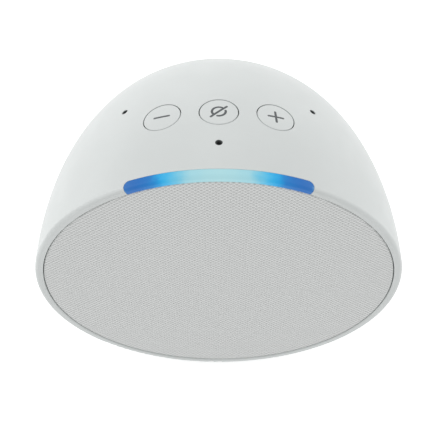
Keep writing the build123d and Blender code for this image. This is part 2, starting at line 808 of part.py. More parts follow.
cone_slope = (cone_neck_depth - cone_thickness - basket_front) / (
    cone_rim_radius - surround_lap - cone_neck_radius
)
dust_cap_seat = cone_neck_depth - cone_thickness - cone_slope * (dust_cap_radius - cone_neck_radius)
with BuildPart() as driver_dust_cap:
    with BuildSketch(section_at(90)):
        with BuildLine():
            cap_top = dust_cap_seat - dust_cap_height
            Line((0, dust_cap_seat - cone_thickness), (0, cap_top))
            cap_curve = (dust_cap_radius**2 + dust_cap_height**2) / (2 * dust_cap_height)
            RadiusArc((0, cap_top), (dust_cap_radius, dust_cap_seat), -cap_curve)
            Line((dust_cap_radius, dust_cap_seat), (dust_cap_radius - cone_thickness, dust_cap_seat))
            Line((dust_cap_radius - cone_thickness, dust_cap_seat), (0, dust_cap_seat - cone_thickness))
        make_face()
    revolve(axis=face_axis)
save("driver_dust_cap", driver_dust_cap)

with BuildPart() as voice_coil:
    former_inner = coil_former_radius - coil_former_thickness
    ring(former_inner, coil_former_radius, coil_former_front, coil_former_back)
    ring(coil_former_radius, coil_outer_radius, coil_front, coil_back)
save("voice_coil", voice_coil)

with BuildPart() as driver_spider:
    spider_front = spider_ledge_depth - spider_thickness
    ring(coil_former_radius + spider_clearance, spider_outer_radius, spider_front, spider_ledge_depth)
save("driver_spider", driver_spider)

with BuildPart() as driver_top_plate:
    ring(top_plate_bore, top_plate_radius, basket_back_depth, top_plate_back)
save("driver_top_plate", driver_top_plate)

with BuildPart() as driver_magnet:
    ring(magnet_bore_radius, magnet_radius, top_plate_back, magnet_back)
save("driver_magnet", driver_magnet)

with BuildPart() as driver_yoke:
    ring(0, yoke_radius, magnet_back, yoke_back)
    peg(face, pole_radius, basket_back_depth - pole_step, magnet_back)
save("driver_yoke", driver_yoke)

with BuildPart() as driver_terminals:
    terminal_front = terminal_tab_depth + terminal_tab_thickness
    block(terminal_plane, terminal_width, terminal_height, terminal_front, terminal_back)
save("driver_terminals", driver_terminals)

# --- Acoustic chamber -----------------------------------------------------------------------
wire_x = [terminal_spot[0] - wire_spacing / 2, terminal_spot[0] + wire_spacing / 2]
with BuildPart() as rear_enclosure:
    turned(
        (flange_radius, chamber_seat),
        (flange_radius, chamber_flange_back),
        (chamber_outer_radius, chamber_flange_back),
        (chamber_back_radius, chamber_depth),
        (0, chamber_depth),
        (0, chamber_depth - chamber_wall),
        (chamber_back_radius - chamber_wall, chamber_depth - chamber_wall),
        (chamber_outer_radius - chamber_wall, chamber_seat),
    )
    peg(face, post_radius, chamber_depth - tolerance, board_front, post_spots)
    peg(face, screw_hole, chamber_depth, board_front + margin, post_spots, mode=Mode.SUBTRACT)
    hole_start = chamber_seat - margin
    hole_end = chamber_flange_back + margin
    peg(face, screw_hole, hole_start, hole_end, chamber_screw_spots, mode=Mode.SUBTRACT)
    hole_start = chamber_depth - chamber_wall - margin
    peg(face, grommet_radius, hole_start, chamber_depth + margin, [terminal_spot], mode=Mode.SUBTRACT)
save("rear_enclosure", rear_enclosure)

with BuildPart() as enclosure_seal:
    ring(seal_inner, seal_outer, baffle_back, chamber_seat)
save("enclosure_seal", enclosure_seal)

with BuildPart() as enclosure_screws:
    screws(face, chamber_flange_back, blind + screw_clearance, chamber_screw_spots)
save("enclosure_screws", enclosure_screws)

with BuildPart() as wire_grommet:
    grommet_front = chamber_depth - chamber_wall
    grommet_back = chamber_depth + grommet_flange
    peg(face, grommet_radius, grommet_front, chamber_depth, [terminal_spot])
    peg(face, grommet_radius + grommet_overhang, chamber_depth, grommet_back, [terminal_spot])
    wire_spots = [(x, terminal_spot[1]) for x in wire_x]
    wire_hole = wire_radius + wire_clearance
    peg(face, wire_hole, grommet_front - margin, grommet_back + margin, wire_spots, mode=Mode.SUBTRACT)
save("wire_grommet", wire_grommet)

# --- Main board -----------------------------------------------------------------------------
with BuildPart() as main_board:
    block(face, 2 * board_half_width, board_top - board_bottom, board_front, board_back, (0, board_middle))
    peg(face, screw_hole, board_front - margin, board_back + margin, post_spots, mode=Mode.SUBTRACT)
save("main_board", main_board)

with BuildPart() as board_screws:
    screws(face, board_back, chamber_depth + screw_clearance, post_spots)
save("board_screws", board_screws)

with BuildPart() as shield_can:
    block(face, can_width, can_height, board_back, can_back, (can_x, can_y))
    inner_width = can_width - 2 * can_wall
    inner_height = can_height - 2 * can_wall
    can_roof = can_back - can_wall
    can_spot = (can_x, can_y)
    block(face, inner_width, inner_height, board_back, can_roof, can_spot, mode=Mode.SUBTRACT)
save("shield_can", shield_can)

chip_back = board_back + chip_thickness
with BuildPart() as processor:
    block(face, chip_size, chip_size, board_back, chip_back, (can_x - chip_offset, can_y))
save("processor", processor)

with BuildPart() as memory_chip:
    block(face, memory_width, memory_height, board_back, chip_back, (can_x + memory_offset, can_y))
save("memory_chip", memory_chip)

with BuildPart() as chip_pad:
    block(face, chip_size, chip_size, chip_back, can_back - can_wall, (can_x - chip_offset, can_y))
save("chip_pad", chip_pad)

with BuildPart() as thermal_pad:
    pad_width = can_width - 2 * pad_inset
    pad_height = can_height - 2 * pad_inset
    block(face, pad_width, pad_height, can_back, spreader_front, (can_x, can_y))
save("thermal_pad", thermal_pad)

with BuildPart() as heat_spreader:
    block(face, can_width, can_height, spreader_front, spreader_back, (can_x, can_y))
    fin_pitch = (can_width - spreader_fin_width) / (spreader_fin_count - 1)
    for i in range(spreader_fin_count):
        fin_x = can_x + fin_pitch * (i - (spreader_fin_count - 1) / 2)
        fin_end = spreader_back + spreader_fin_height
        block(face, spreader_fin_width, can_height, spreader_back - tolerance, fin_end, (fin_x, can_y))
save("heat_spreader", heat_spreader)

with BuildPart() as capacitors:
    capacitor_spots = [(capacitor_x, can_y - capacitor_y), (capacitor_x, can_y + capacitor_y)]
    peg(face, capacitor_radius, board_back, board_back + capacitor_length, capacitor_spots)
save("capacitors", capacitors)

with BuildPart() as power_inductor:
    inductor_spot = (inductor_x, inductor_y)
    block(face, inductor_size, inductor_size, board_back, board_back + inductor_height, inductor_spot)
save("power_inductor", power_inductor)

ribbon_plug_y = board_top - ribbon_plug_length / 2
plug_back = board_back + plug_height
ribbon_plug_back = board_back + ribbon_plug_height
with BuildPart() as board_connectors:
    block(face, power_plug_width, plug_length, board_back, plug_back, (0, plug_y))
    block(face, speaker_plug_width, plug_length, board_back, plug_back, (terminal_spot[0], plug_y))
    block(face, ribbon_plug_width, ribbon_plug_length, board_back, ribbon_plug_back, (0, ribbon_plug_y))
save("board_connectors", board_connectors)

with BuildPart() as wifi_antennas:
    inner_radius = dome_radius - wall - antenna_gap
    inner_depth = dome_depth - wall - antenna_gap
    for side in (-90, 90):
        with BuildSketch(section_at(side + antenna_half_angle), mode=Mode.PRIVATE) as strip:
            with BuildLine():
                skin = dome_points(antenna_front, antenna_back, inner_radius, inner_depth, antenna_steps)
                back = [(radius - antenna_thickness, depth) for radius, depth in skin]
                Spline(*skin)
                Line(skin[-1], back[-1])
                Spline(*back)
                Line(back[0], skin[0])
            make_face()
        revolve(strip.sketch, axis=face_axis, revolution_arc=2 * antenna_half_angle)
save("wifi_antennas", wifi_antennas)

# --- Wires and ribbon -----------------------------------------------------------------------
plug_side_y = plug_y - plug_length / 2
wire_level = board_back + plug_height / 2
with BuildPart() as speaker_wires:
    for x in wire_x:
        start = face.from_local_coords(Vector(x, terminal_spot[1], -terminal_back))
        corner = face.from_local_coords(Vector(x, terminal_spot[1], -wire_level))
        end = face.from_local_coords(Vector(x, plug_side_y, -wire_level))
        wire_bend = speaker_bend_share * (plug_side_y - terminal_spot[1])
        with BuildLine() as wire_route:
            FilletPolyline(start, corner, end, radius=wire_bend)
        with BuildSketch(Plane(origin=start, z_dir=-front_normal)):
            Circle(wire_radius)
        sweep(path=wire_route.line)
save("speaker_wires", speaker_wires)

with BuildPart() as power_wires:
    for x in (-power_wire_spacing / 2, power_wire_spacing / 2):
        start = Vector(x, jack_front - jack_length, jack_height)
        end = face.from_local_coords(Vector(x, plug_y, -plug_back))
        leave = start - Vector(0, 1, 0) * power_wire_lead
        arrive = end - front_normal * power_wire_lead
        with BuildLine() as wire_route:
            FilletPolyline(start, leave, arrive, end, radius=power_wire_bend)
        with BuildSketch(Plane(origin=start, z_dir=(0, -1, 0))):
            Circle(wire_radius)
        sweep(path=wire_route.line)
save("power_wires", power_wires)

# --- Keys -----------------------------------------------------------------------------------
for name, plane in key_planes.items():
    with BuildPart() as key_cap:
        peg(plane, key_radius, -wall, flange_below)
        add(dome.part, mode=Mode.INTERSECT)
        fillet(key_cap.edges().sort_by_distance(plane.origin + plane.z_dir * wall)[0], key_edge_round)
        peg(plane, key_flange_radius, key_skirt, flange_below)
        peg(plane, key_stem_radius, flange_below, stem_end)
    save(f"button_{name}", key_cap)
    with BuildPart() as key_plunger:
        peg(plane, plunger_radius, stem_end, stem_end + plunger_length)
    save(f"switch_plunger_{name}", key_plunger)


def band(near, far, half_length, half_angle):
    """A curved strip under the keys, between two distances below the skin."""
    lean = atan(-dome_slope(key_depth))
    key_skin = dome_at(key_depth)

    def corner(below, along):
        radius = key_skin - below * cos(lean) - along * sin(lean)
        depth = key_depth - below * sin(lean) + along * cos(lean)
        return radius, depth

    turned(
        corner(near, -half_length),
        corner(near, half_length),
        corner(far, half_length),
        corner(far, -half_length),
        half_angle=half_angle,
    )


with BuildPart() as button_carrier:
    band(carrier_below, carrier_back, carrier_half_length, carrier_half_angle)
    for plane in key_screw_planes:
        peg(plane, key_post_radius, carrier_back - tolerance, key_board_below, key_screw_spots)
        hole_start = carrier_below - margin
        peg(plane, screw_hole, hole_start, key_board_below + margin, key_screw_spots, mode=Mode.SUBTRACT)
    for plane in key_planes.values():
        guide_hole = key_stem_radius + guide_clearance
        peg(plane, guide_hole, carrier_below - margin, carrier_back + margin, mode=Mode.SUBTRACT)
save("button_carrier", button_carrier)

with BuildPart() as button_board:
    band(key_board_below, key_board_back, carrier_half_length, carrier_half_angle)
    for plane in key_screw_planes:
        hole_start = key_board_below - margin
        peg(plane, screw_hole, hole_start, key_board_back + margin, key_screw_spots, mode=Mode.SUBTRACT)
save("button_board", button_board)

with BuildPart() as button_screws:
    for plane in key_screw_planes:
        screws(plane, key_board_back + tolerance, key_boss_root + wall + tolerance, key_screw_spots)
save("button_screws", button_screws)

with BuildPart() as tact_switches:
    well = key_board_below - switch_floor
    for plane in key_planes.values():
        block(plane, switch_size, switch_size, switch_top, key_board_below)
        peg(plane, plunger_radius + plunger_clearance, switch_top, well, mode=Mode.SUBTRACT)
save("tact_switches", tact_switches)

with BuildPart() as board_ribbon:
    lean = atan(-dome_slope(key_depth))
    board_radius = dome_at(key_depth) - key_board_back * cos(lean)
    board_crown = ribbon_width**2 / (8 * board_radius)
    ribbon_below = key_board_back + board_crown + ribbon_thickness
    leave_radius = dome_at(key_depth) - ribbon_below * cos(lean)
    leave_depth = key_depth - ribbon_below * sin(lean)
    ribbon_level = board_back + ribbon_plug_height / 2
    turn_radius = leave_radius - (ribbon_level - leave_depth) * sin(lean)
    with BuildSketch(Plane(origin=face_centre, x_dir=front_up, z_dir=(-1, 0, 0))):
        with BuildLine():
            FilletPolyline(
                (leave_radius, leave_depth),
                (turn_radius, ribbon_level),
                (board_top, ribbon_level),
                radius=ribbon_bend,
            )
        trace(line_width=ribbon_thickness)
    extrude(amount=ribbon_width / 2, both=True)
save("board_ribbon", board_ribbon)

# --- Microphones ----------------------------------------------------------------------------
with BuildPart() as mic_meshes:
    for plane, port_radius in mic_sites:
        peg(plane, mic_mesh_radius, mic_port_length, mic_mesh_back)
save("mic_meshes", mic_meshes)

with BuildPart() as mic_port_liners:
    for plane, port_radius in mic_sites:
        liner_radius = port_radius - liner_gap
        peg(plane, liner_radius, liner_recess, mic_port_length)
        peg(plane, liner_radius - liner_wall, 0, mic_port_length + tolerance, mode=Mode.SUBTRACT)
save("mic_port_liners", mic_port_liners)

with BuildPart() as mic_gaskets:
    for plane, port_radius in mic_sites:
        peg(plane, mic_mesh_radius, mic_mesh_back, mic_gasket_back)
        peg(plane, mic_gasket_bore, mic_mesh_back - margin, mic_gasket_back + margin, mode=Mode.SUBTRACT)
save("mic_gaskets", mic_gaskets)

with BuildPart() as mic_capsules:
    for plane, port_radius in mic_sites:
        block(plane, mic_capsule_width, mic_capsule_length, mic_gasket_back, mic_capsule_back)
save("mic_capsules", mic_capsules)

with BuildPart() as mic_boards:
    for plane, port_radius in mic_sites:
        peg(plane, mic_board_radius, mic_capsule_back, mic_capsule_back + mic_board_thickness)
save("mic_boards", mic_boards)

# --- Power inlet ----------------------------------------------------------------------------
with BuildPart() as power_jack:
    peg(jack_plane, jack_radius, 0, jack_length)
    peg(jack_plane, jack_bore_radius, 0, jack_mouth_length, mode=Mode.SUBTRACT)
    contact_radius = jack_bore_radius + contact_thickness
    peg(jack_plane, contact_radius, jack_mouth_length, jack_bore_depth, mode=Mode.SUBTRACT)
    mouth = power_jack.edges().filter_by(GeomType.CIRCLE).group_by(Axis.Y)[-1].sort_by(SortBy.RADIUS)[0]
    chamfer(mouth, jack_mouth_chamfer)
save("power_jack", power_jack)

with BuildPart() as jack_pin:
    peg(jack_plane, jack_pin_radius, jack_pin_recess, jack_bore_depth)
    fillet(jack_pin.edges().group_by(Axis.Y)[-1], jack_pin_radius / 2)
save("jack_pin", jack_pin)

with BuildPart() as jack_contact:
    peg(jack_plane, contact_radius - contact_gap, jack_mouth_length, jack_bore_depth)
    bore_end = jack_bore_depth + margin
    peg(jack_plane, jack_bore_radius, jack_mouth_length - margin, bore_end, mode=Mode.SUBTRACT)
save("jack_contact", jack_contact)
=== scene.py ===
import json
import math

import bmesh
import bpy
from mathutils import Matrix, Vector


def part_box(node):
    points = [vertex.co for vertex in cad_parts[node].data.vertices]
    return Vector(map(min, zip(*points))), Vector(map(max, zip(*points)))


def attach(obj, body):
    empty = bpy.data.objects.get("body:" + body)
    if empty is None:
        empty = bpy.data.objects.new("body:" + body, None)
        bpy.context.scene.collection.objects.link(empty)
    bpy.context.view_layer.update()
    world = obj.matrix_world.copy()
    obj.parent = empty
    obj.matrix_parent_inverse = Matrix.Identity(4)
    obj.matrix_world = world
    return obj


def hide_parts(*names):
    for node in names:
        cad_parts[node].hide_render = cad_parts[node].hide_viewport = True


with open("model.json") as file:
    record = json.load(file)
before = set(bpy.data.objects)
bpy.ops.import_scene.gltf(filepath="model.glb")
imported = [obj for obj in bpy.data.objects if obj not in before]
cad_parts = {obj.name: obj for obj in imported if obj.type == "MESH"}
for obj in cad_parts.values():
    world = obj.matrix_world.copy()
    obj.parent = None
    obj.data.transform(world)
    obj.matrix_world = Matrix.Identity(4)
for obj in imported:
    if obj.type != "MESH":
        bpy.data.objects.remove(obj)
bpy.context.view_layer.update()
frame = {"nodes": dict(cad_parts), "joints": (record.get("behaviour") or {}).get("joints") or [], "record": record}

MM = 0.001

# Sizes of the speaker that the looks follow, the same as in the CAD model, in metres.
DOME_RADIUS = 49.5 * MM
DOME_DEPTH = 64.2 * MM
DOME_FULLNESS = 2.57            # exponent of the dome's outline
CLOTH_FRONT = 0.2 * MM          # cloth set back from the rim
CLOTH_BACK = 2.8 * MM           # where the cloth's skirt ends
CLOTH_RADIUS = 47.15 * MM
KEY_DEPTH = 21.45 * MM
KEY_ANGLES = {"minus": -17.4, "mute": 0.0, "plus": 17.4}
LIGHT_HALF_ANGLE = 27.3         # degrees of the rim that the light bar takes on each side

# The repeat of the grille cloth's weave, which the CAD model doesn't have.
WEAVE_ACROSS = 1.4 * MM
WEAVE_ALONG = 1.2 * MM

# The front's frame: its normal is the way the cone moves, and its centre comes from the cloth's box.
cone_joint = next(joint for joint in frame["joints"] if joint["name"] == "cone_stroke")
FRONT = Vector(cone_joint["axis"]).normalized()
RIGHT = Vector((1, 0, 0))
UP = FRONT.cross(RIGHT)
cloth_low, cloth_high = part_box("grille_fabric")
FACE_CENTRE = (Vector(cloth_low) + Vector(cloth_high)) / 2 + FRONT * (CLOTH_FRONT + CLOTH_BACK) / 2


def face_point(x, y, depth=0.0):
    """A point in the frame of the speaker's front: right, up its slope, and back into the dome."""
    return FACE_CENTRE + RIGHT * x + UP * y - FRONT * depth


def dome_at(depth):
    """Radius of the dome at a depth behind its rim."""
    return DOME_RADIUS * max(1 - (depth / DOME_DEPTH) ** 2, 0.0) ** (1 / DOME_FULLNESS)


def dome_slope(depth):
    """How fast the dome's radius changes with depth."""
    share = 1 - (depth / DOME_DEPTH) ** 2
    return -2 * DOME_RADIUS * depth / (DOME_FULLNESS * DOME_DEPTH**2) * share ** (1 / DOME_FULLNESS - 1)


def height_over_dome(point):
    """How far a point stands outside the dome, roughly, measured square to its skin."""
    offset = point - FACE_CENTRE
    depth = -offset.dot(FRONT)
    radius = (offset + FRONT * depth).length
    lean = math.atan(-dome_slope(depth))
    return (radius - dome_at(depth)) * math.cos(lean)


DROP_ROUNDS = 4                 # each round lands closer to the skin


def drop_to_dome(point, normal, proud):
    """Moves a point along a normal until it stands just proud of the dome's skin."""
    for _ in range(DROP_ROUNDS):
        point = point - normal * (height_over_dome(point) - proud)
    return point


def key_frame(angle):
    """Origin, across, back and outward directions of a key's middle on the dome's skin."""
    out = RIGHT * math.sin(math.radians(angle)) + UP * math.cos(math.radians(angle))
    lean = math.atan(-dome_slope(KEY_DEPTH))
    normal = out * math.cos(lean) - FRONT * math.sin(lean)
    across = RIGHT * math.cos(math.radians(angle)) - UP * math.sin(math.radians(angle))
    origin = FACE_CENTRE + out * dome_at(KEY_DEPTH) - FRONT * KEY_DEPTH
    return origin, across, normal.cross(across), normal


# --- Materials --------------------------------------------------------------------------------
TONE_PATCH = 22 * MM            # slow changes of tone on mouldings
GLOSS_PATCH = 6 * MM
METAL_PATCH = 5 * MM
SCRATCH_SIZE = 0.6 * MM
SCRATCH_STRETCH = 12.0          # how much finer brushed lines are along Z
SCRATCH_DEPTH = 0.01 * MM
FIBRE_SIZE = 0.12 * MM
PAINTED_GAP_SHADE = 0.64          # painted shade in the gaps between threads, as a share of the threads' own colour
FIBRE_TONE = 0.6
TRACK_SIZE = 3 * MM
TRACK_DEPTH = 0.03 * MM
GLOW_STRENGTH = 0.7
GLOW_DARKENING = 0.8            # the cover's own colour is darker than its light, by this share


def srgb(*channels):
    """A colour as a screen shows it, 0 to 255, as linear values."""
    values = [channel / 255 for channel in channels]
    return [v / 12.92 if v <= 0.04045 else ((v + 0.055) / 1.055) ** 2.4 for v in values] + [1.0]


def toned(colour, factor):
    """A linear colour made darker or lighter, no brighter than full."""
    return [min(channel * factor, 1.0) for channel in colour[:3]] + [1.0]


class Nodes:
    """A material's node tree, with short calls for the nodes used here."""

    def __init__(self, name):
        self.material = bpy.data.materials.new(name)
        self.material.use_nodes = True
        self.tree = self.material.node_tree
        self.shader = self.tree.nodes["Principled BSDF"]
        self.place = self.node("ShaderNodeTexCoord").outputs["Object"]

    def node(self, kind, **settings):
        made = self.tree.nodes.new(kind)
        for key, value in settings.items():
            setattr(made, key, value)
        return made

    def link(self, source, target):
        self.tree.links.new(source, target)

    def feed(self, target, value):
        """Links a socket, or sets a plain value."""
        if isinstance(value, bpy.types.NodeSocket):
            self.link(value, target)
        else:
            target.default_value = value

    def math(self, operation, first, second=0.0):
        made = self.node("ShaderNodeMath", operation=operation)
        self.feed(made.inputs[0], first)
        self.feed(made.inputs[1], second)
        return made.outputs[0]

    def noise(self, size, detail=3.0, place=None):
        """Noise whose features are about this big, in metres."""
        made = self.node("ShaderNodeTexNoise")
        self.link(place or self.place, made.inputs["Vector"])
        made.inputs["Scale"].default_value = 1 / size
        made.inputs["Detail"].default_value = detail
        made.inputs["Roughness"].default_value = 0.55
        return made.outputs["Fac"]

    def spread(self, value, low, high, start=0.3, end=0.7):
        """Maps a value between start and end to low and high."""
        made = self.node("ShaderNodeMapRange")
        self.feed(made.inputs["Value"], value)
        made.inputs["From Min"].default_value = start
        made.inputs["From Max"].default_value = end
        made.inputs["To Min"].default_value = low
        made.inputs["To Max"].default_value = high
        return made.outputs["Result"]

    def mix(self, factor, first, second):
        made = self.node("ShaderNodeMix", data_type="RGBA")
        self.feed(made.inputs["Factor"], factor)
        self.feed(made.inputs["A"], first)
        self.feed(made.inputs["B"], second)
        return made.outputs["Result"]

    def bump(self, height, depth, strength, under=None):
        made = self.node("ShaderNodeBump")
        made.inputs["Strength"].default_value = strength
        made.inputs["Distance"].default_value = depth
        self.link(height, made.inputs["Height"])
        if under is not None:
            self.link(under, made.inputs["Normal"])
        return made.outputs["Normal"]

    def axes(self):
        """The object's coordinates along the front: right, up its slope, and out of it."""
        made = []
        for direction in (RIGHT, UP, FRONT):
            dot = self.node("ShaderNodeVectorMath", operation="DOT_PRODUCT")
            shift = self.node("ShaderNodeVectorMath", operation="SUBTRACT")
            self.link(self.place, shift.inputs[0])
            shift.inputs[1].default_value = FACE_CENTRE
            self.link(shift.outputs[0], dot.inputs[0])
            dot.inputs[1].default_value = direction
            made.append(dot.outputs["Value"])
        return made


def varied(nodes, colour, amount, size):
    """A colour that drifts a little lighter and darker over the surface."""
    drift = nodes.spread(nodes.noise(size), 0.0, 1.0)
    return nodes.mix(drift, toned(colour, 1 - amount), toned(colour, 1 + amount))


def moulded(name, colour, roughness, grain=0.35 * MM, depth=0.012 * MM, variation=0.02, specular=0.5):
    """Moulded plastic or rubber: a fine spark-eroded grain, with slow changes of tone and gloss."""
    nodes = Nodes(name)
    tone = varied(nodes, colour, variation, TONE_PATCH)
    nodes.link(tone, nodes.shader.inputs["Base Color"])
    gloss = nodes.spread(nodes.noise(GLOSS_PATCH), roughness - 0.05, roughness + 0.05)
    nodes.link(gloss, nodes.shader.inputs["Roughness"])
    nodes.shader.inputs["Specular IOR Level"].default_value = specular
    fine = nodes.noise(grain, detail=2.0)
    nodes.link(nodes.bump(fine, depth, 0.6), nodes.shader.inputs["Normal"])
    return nodes.material


def metal(name, colour, roughness, brushed=True):
    """Turned or plated metal with fine scratches."""
    nodes = Nodes(name)
    nodes.shader.inputs["Metallic"].default_value = 1.0
    nodes.link(varied(nodes, colour, 0.06, METAL_PATCH), nodes.shader.inputs["Base Color"])
    stretch = nodes.node("ShaderNodeMapping")
    stretch.inputs["Scale"].default_value = (1.0, 1.0, SCRATCH_STRETCH if brushed else 1.0)
    nodes.link(nodes.place, stretch.inputs["Vector"])
    lines = nodes.noise(SCRATCH_SIZE, place=stretch.outputs["Vector"])
    nodes.link(nodes.spread(lines, roughness - 0.08, roughness + 0.1), nodes.shader.inputs["Roughness"])
    nodes.link(nodes.bump(lines, SCRATCH_DEPTH, 0.5), nodes.shader.inputs["Normal"])
    return nodes.material


def woven(name, colour, across, along, depth=0.08 * MM):
    """A thin technical cloth: a staggered weave of threads across the front, with painted shade darkening the gaps
    between threads.
    """
    nodes = Nodes(name)
    right, up, _ = nodes.axes()
    waves = []
    for value, pitch in ((right, across), (up, along)):
        turn = nodes.math("MULTIPLY", value, 2 * math.pi / pitch)
        waves.append(nodes.math("COSINE", turn))
    checks = nodes.math("MULTIPLY", waves[0], waves[1])
    # painted shade: the gaps between threads are darkened, as if shaded inside the weave's holes
    shade = nodes.spread(checks, 0.0, 1.0, -0.9, 0.5)
    tone = nodes.mix(shade, toned(colour, PAINTED_GAP_SHADE), colour)
    fibres = nodes.noise(FIBRE_SIZE, detail=4.0)
    fleck = nodes.mix(nodes.spread(fibres, 0.0, 0.25), tone, toned(colour, FIBRE_TONE))
    nodes.link(fleck, nodes.shader.inputs["Base Color"])
    nodes.shader.inputs["Roughness"].default_value = 0.85
    nodes.shader.inputs["Sheen Weight"].default_value = 0.15
    nodes.shader.inputs["Sheen Roughness"].default_value = 0.6
    weave = nodes.bump(checks, depth, 0.8)
    nodes.link(nodes.bump(fibres, depth * 0.6, 0.5, under=weave), nodes.shader.inputs["Normal"])
    return nodes.material


def circuit(name, colour):
    """A solder-masked board with faint tracks under the mask."""
    nodes = Nodes(name)
    right, up, _ = nodes.axes()
    tracks = nodes.node("ShaderNodeTexBrick")
    place = nodes.node("ShaderNodeCombineXYZ")
    nodes.link(right, place.inputs["X"])
    nodes.link(up, place.inputs["Y"])
    nodes.link(place.outputs[0], tracks.inputs["Vector"])
    tracks.inputs["Scale"].default_value = 1 / TRACK_SIZE
    tracks.inputs["Mortar Size"].default_value = 0.04
    tracks.inputs["Color1"].default_value = colour
    tracks.inputs["Color2"].default_value = toned(colour, 0.8)
    tracks.inputs["Mortar"].default_value = toned(colour, 1.8)
    nodes.link(tracks.outputs["Color"], nodes.shader.inputs["Base Color"])
    nodes.link(nodes.spread(nodes.noise(2 * MM), 0.25, 0.4), nodes.shader.inputs["Roughness"])
    nodes.link(nodes.bump(tracks.outputs["Fac"], TRACK_DEPTH, 0.6), nodes.shader.inputs["Normal"])
    return nodes.material


def light_bar_glow(name):
    """Light behind a frosted cover: pale in the middle, then cyan, then deep blue at the ends."""
    nodes = Nodes(name)
    right, _, _ = nodes.axes()
    reach = DOME_RADIUS * math.sin(math.radians(LIGHT_HALF_ANGLE))
    place = nodes.math("ABSOLUTE", nodes.math("DIVIDE", right, reach))
    soft = nodes.spread(nodes.noise(3 * MM), -0.03, 0.03)
    place = nodes.math("ADD", place, soft)
    ramp = nodes.node("ShaderNodeValToRGB")
    ramp.color_ramp.interpolation = "B_SPLINE"
    stops = (
        (0.0, srgb(184, 230, 236)),
        (0.30, srgb(176, 226, 236)),
        (0.42, srgb(120, 208, 236)),
        (0.58, srgb(26, 188, 250)),
        (0.70, srgb(48, 122, 204)),
        (0.98, srgb(40, 108, 190)),
        (1.0, srgb(110, 165, 214)),
    )
    elements = ramp.color_ramp.elements
    for i, (position, colour) in enumerate(stops):
        element = elements[i] if i < 2 else elements.new(position)
        element.position = position
        element.color = colour
    nodes.link(place, ramp.inputs["Fac"])
    body = nodes.mix(GLOW_DARKENING, ramp.outputs["Color"], (0.0, 0.0, 0.0, 1.0))
    nodes.link(body, nodes.shader.inputs["Base Color"])
    nodes.link(ramp.outputs["Color"], nodes.shader.inputs["Emission Color"])
    nodes.shader.inputs["Emission Strength"].default_value = GLOW_STRENGTH
    nodes.shader.inputs["Specular IOR Level"].default_value = 0.2
    nodes.shader.inputs["Roughness"].default_value = 0.35
    nodes.link(nodes.bump(nodes.noise(0.3 * MM), 0.01 * MM, 0.5), nodes.shader.inputs["Normal"])
    return nodes.material


WHITE = srgb(211, 215, 214)
BLACK = srgb(40, 40, 42)
finishes = {
    "shell_white": moulded("shell_white", WHITE, 0.42),
    "key_white": moulded("key_white", WHITE, 0.40),
    "foot_rubber": moulded("foot_rubber", srgb(150, 152, 154), 0.8, 0.5 * MM, 0.04 * MM, 0.06, 0.3),
    "grille_plastic": moulded("grille_plastic", srgb(190, 192, 192), 0.6),
    "grille_cloth": woven("grille_cloth", srgb(233, 235, 234), WEAVE_ACROSS, WEAVE_ALONG),
    "light_diffuser": light_bar_glow("light_diffuser"),
    "clear_plastic": moulded("clear_plastic", srgb(225, 236, 240), 0.15, depth=0.003 * MM),
    "black_plastic": moulded("black_plastic", BLACK, 0.5),
    "screw_steel": metal("screw_steel", srgb(165, 166, 170), 0.3),
    "black_foam": moulded("black_foam", srgb(76, 80, 80), 0.9, 0.4 * MM, 0.05 * MM, 0.15, 0.2),
    "surround_rubber": moulded("surround_rubber", srgb(34, 34, 35), 0.55, 0.5 * MM, 0.01 * MM),
    "spider_cloth": woven("spider_cloth", srgb(205, 170, 100), 0.8 * MM, 0.8 * MM),
    "cone_paper": moulded("cone_paper", srgb(58, 58, 60), 0.85, 0.6 * MM, 0.1 * MM, 0.15, 0.2),
    "coil_copper": metal("coil_copper", srgb(200, 120, 70), 0.3),
    "basket_plastic": moulded("basket_plastic", srgb(48, 48, 50), 0.4),
    "plated_steel": metal("plated_steel", srgb(190, 191, 194), 0.28),
    "ferrite": moulded("ferrite", srgb(82, 82, 84), 0.7, 0.3 * MM, 0.03 * MM, 0.1),
    "circuit_board": circuit("circuit_board", srgb(20, 88, 52)),
    "chip_black": moulded("chip_black", srgb(38, 38, 40), 0.55, 0.15 * MM),
    "led_white": moulded("led_white", srgb(244, 240, 214), 0.3),
    "thermal_silicone": moulded("thermal_silicone", srgb(140, 170, 200), 0.8, 0.5 * MM, 0.05 * MM),
    "heat_aluminium": metal("heat_aluminium", srgb(205, 207, 210), 0.35),
    "mic_metal": metal("mic_metal", srgb(214, 190, 130), 0.25, brushed=False),
    "mic_cloth": woven("mic_cloth", srgb(62, 66, 67), 0.25 * MM, 0.25 * MM, 0.05 * MM),
    "flex_film": moulded("flex_film", srgb(190, 120, 40), 0.25, depth=0.004 * MM),
    "wire_sleeve": moulded("wire_sleeve", srgb(180, 40, 34), 0.5),
    "contact_metal": metal("contact_metal", srgb(222, 206, 160), 0.18, brushed=False),
}
for part in frame["record"]["subparts"]:
    surface = frame["nodes"][part["node"]]
    surface.data.materials.clear()
    surface.data.materials.append(finishes[part["material_slot"]])


# --- Building meshes --------------------------------------------------------------------------
def mesh_piece(name, bm, material, body):
    """Turns a bmesh into a named piece that rides on a body."""
    bmesh.ops.recalc_face_normals(bm, faces=bm.faces)
    mesh = bpy.data.meshes.new(name)
    bm.to_mesh(mesh)
    bm.free()
    mesh.materials.append(material)
    for polygon in mesh.polygons:
        polygon.use_smooth = True
    piece = bpy.data.objects.new(name, mesh)
    bpy.context.scene.collection.objects.link(piece)
    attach(piece, body)
    return piece


